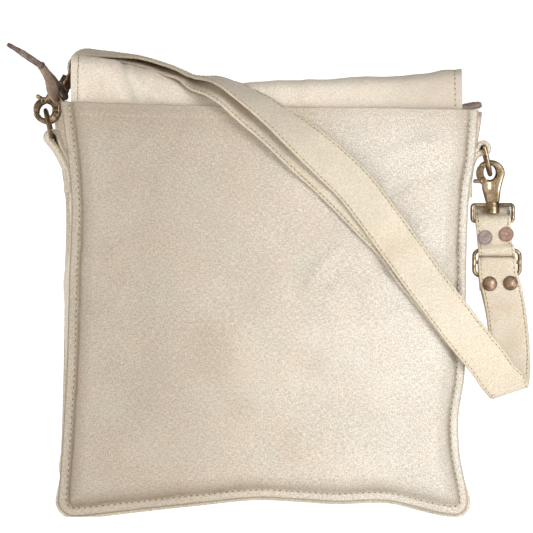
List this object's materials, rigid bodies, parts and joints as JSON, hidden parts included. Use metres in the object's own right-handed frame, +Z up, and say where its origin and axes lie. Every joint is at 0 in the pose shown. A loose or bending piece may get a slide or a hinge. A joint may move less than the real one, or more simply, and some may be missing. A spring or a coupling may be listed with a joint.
{
  "type": "canvas mail bag",
  "caption": "Rectangular canvas shoulder bag for mail, with gusset, lifting flap, zipped mouth and an adjustable strap on swivel snap hooks.",
  "frame": {"origin": "on the floor, under the middle of the whole bag and strap", "axes": "+Z up, +X along the width, -Y out of the plain back panel, +Y out of the flap side"},
  "size_m": [0.4406, 0.0939, 0.398],
  "materials": {
    "body_canvas": "plain-weave undyed cotton canvas, matt",
    "flap_canvas": "lighter plain-weave cotton canvas, matt",
    "strap_canvas": "folded and edge-stitched cotton canvas, matt",
    "zip_cloth": "thin canvas strips, matt",
    "zip_tape": "woven brown zip tape",
    "leather": "dark brown leather with a worn nap",
    "antique_brass": "antique brass, worn bright on the edges",
    "copper": "aged copper",
    "spring_steel": "hardened strip"
  },
  "bodies": {
    "bag": {"back_panel": "body_canvas", "burr_posts": "copper", "burr_washers": "copper", "dome_caps": "copper", "dome_posts": "copper", "flap_back": "flap_canvas", "front_panel": "body_canvas", "gusset_left": "body_canvas", "gusset_right": "body_canvas", "loop_tab_left": "body_canvas", "loop_tab_right": "body_canvas", "slide_adjuster": "antique_brass", "strap_inner_run": "strap_canvas", "strap_outer_run": "strap_canvas", "swivel_eye_left": "antique_brass", "zip_end_stub": "zip_tape", "zip_end_tab": "leather"},
    "flap": {"flap_front": "flap_canvas", "flap_hem": "flap_canvas"},
    "zip_slider": {"zip_slider": "antique_brass"},
    "zip_pull": {"pull_link": "antique_brass", "zip_pull": "leather"},
    "zip_side_front": {"zip_panel_front": "zip_cloth", "zip_tape_front": "zip_tape", "zip_teeth_front": "antique_brass"},
    "zip_side_back": {"zip_panel_back": "zip_cloth", "zip_tape_back": "zip_tape", "zip_teeth_back": "antique_brass"},
    "ring_left": {"d_ring_left": "antique_brass"},
    "ring_right": {"d_ring_right": "antique_brass"},
    "eye_right": {"swivel_eye_right": "antique_brass"},
    "hook_left": {"snap_hook_left": "antique_brass", "gate_pin_left": "antique_brass", "gate_spring_left": "spring_steel"},
    "hook_right": {"snap_hook_right": "antique_brass", "gate_pin_right": "antique_brass", "gate_spring_right": "spring_steel"},
    "gate_left": {"hook_gate_left": "antique_brass"},
    "gate_right": {"hook_gate_right": "antique_brass"}
  },
  "joints": [
    {"name": "flap_lift", "type": "hinge", "parent": "bag", "child": "flap", "pos_m": [0, 0.02883, 0.36282], "axis": [1, 0, 0], "range_deg": [0, 140]},
    {"name": "zip_slide", "type": "slide", "parent": "bag", "child": "zip_slider", "axis": [1, 0, 0], "range_m": [0, 0.329], "deforming": ["zip_tape_front", "zip_tape_back", "zip_teeth_front", "zip_teeth_back", "zip_pull"]},
    {"name": "zip_front_fold", "type": "hinge", "parent": "bag", "child": "zip_side_front", "pos_m": [0, 0.035, 0.3456], "axis": [1, 0, 0], "range_deg": [0, 85]},
    {"name": "zip_back_fold", "type": "hinge", "parent": "bag", "child": "zip_side_back", "pos_m": [0, -0.0331, 0.3456], "axis": [1, 0, 0], "range_deg": [-85, 0]},
    {"name": "pull_swing", "type": "hinge", "parent": "zip_slider", "child": "zip_pull", "pos_m": [-0.1735, -0.005, 0.3492], "axis": [0, 1, 0], "range_deg": [-15, 15]},
    {"name": "ring_left_rock", "type": "hinge", "parent": "bag", "child": "ring_left", "pos_m": [-0.1845, 0.006, 0.3215], "axis": [0, 1, 0], "range_deg": [-2.5, 2.5]},
    {"name": "ring_right_rock", "type": "hinge", "parent": "bag", "child": "ring_right", "pos_m": [0.1835, 0.006, 0.312], "axis": [0, 1, 0], "range_deg": [-2.5, 2.5]},
    {"name": "eye_right_tilt", "type": "hinge", "parent": "bag", "child": "eye_right", "pos_m": [0.191, 0.006, 0.2495], "axis": [1, 0, 0], "range_deg": [-8, 8]},
    {"name": "hook_right_swivel", "type": "hinge", "parent": "eye_right", "child": "hook_right", "pos_m": [0.191, 0.006, 0.2564], "axis": [0, 0, 1], "range_deg": [-12, 12]},
    {"name": "hook_left_swivel", "type": "hinge", "parent": "bag", "child": "hook_left", "pos_m": [-0.16995, 0.006, 0.37202], "axis": [-0.5, 0, -0.866], "range_deg": [-12, 12]},
    {"name": "gate_right_open", "type": "hinge", "parent": "hook_right", "child": "gate_right", "pos_m": [0.1828, 0.006, 0.284], "axis": [0, 1, 0], "range_deg": [0, 13], "stiffness_Nm_per_rad": 0.02},
    {"name": "gate_left_open", "type": "hinge", "parent": "hook_left", "child": "gate_left", "pos_m": [-0.19085, 0.006, 0.35222], "axis": [0, -1, 0], "range_deg": [0, 13], "stiffness_Nm_per_rad": 0.02}
  ],
  "couplings": [
    {"joint": "zip_front_fold", "follows": "zip_slide", "rad_per_m": 4.5},
    {"joint": "zip_back_fold", "follows": "zip_slide", "rad_per_m": -4.5}
  ]
}
